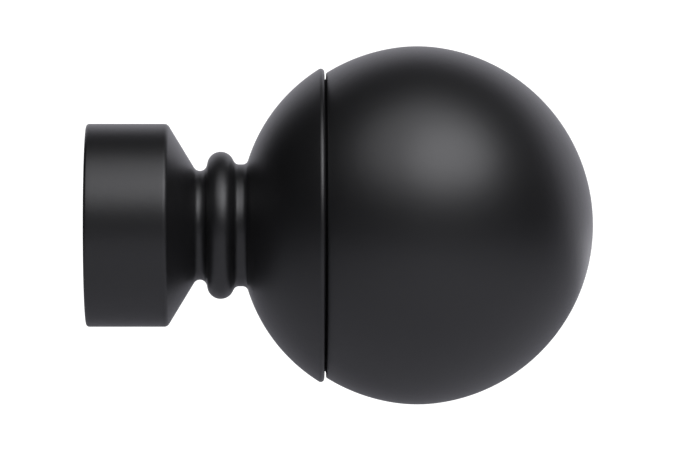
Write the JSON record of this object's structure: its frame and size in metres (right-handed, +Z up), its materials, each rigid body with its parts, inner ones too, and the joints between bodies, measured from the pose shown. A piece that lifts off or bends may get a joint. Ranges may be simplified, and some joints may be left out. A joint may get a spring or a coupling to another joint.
{
  "type": "curtain rod finial",
  "caption": "Ball finial for a round curtain rod: turned collar, beaded neck and cup holding a hollow ball, clamped on the rod by a grub screw.",
  "frame": {"origin": "on the rod's axis, on the face at the bottom of the socket that the end of the rod stops against", "axes": "+X along the rod from the socket's mouth towards the ball, +Z up, +Y towards the wall, where the grub screw is"},
  "size_m": [0.0799, 0.0566, 0.0566],
  "materials": {
    "black_powder_coat": "satin",
    "bare_steel": "satin",
    "zinc_plated_steel": "satin",
    "black_oxide_steel": "satin",
    "nylon": "satin"
  },
  "bodies": {
    "finial": {"neck_casting": "black_powder_coat", "ball_rear_pressing": "black_powder_coat", "ball_front_pressing": "black_powder_coat", "bridge_plate": "bare_steel", "weld_nut": "bare_steel", "tie_screw": "zinc_plated_steel", "spring_washer": "zinc_plated_steel", "plain_washer": "zinc_plated_steel"},
    "clamp_tip": {"grub_screw_tip": "nylon"},
    "clamp_screw": {"grub_screw": "black_oxide_steel"}
  },
  "joints": [
    {"name": "clamp_travel", "type": "slide", "parent": "finial", "child": "clamp_tip", "axis": [0, -1, 0], "range_m": [-0.0007, 0.0014]},
    {"name": "clamp_turn", "type": "hinge", "parent": "clamp_tip", "child": "clamp_screw", "pos_m": [-0.006, 0.015, 0], "axis": [0, -1, 0], "range_deg": [-360, 720]}
  ],
  "couplings": [
    {"joint": "clamp_turn", "follows": "clamp_travel", "rad_per_m": 8975.9}
  ]
}
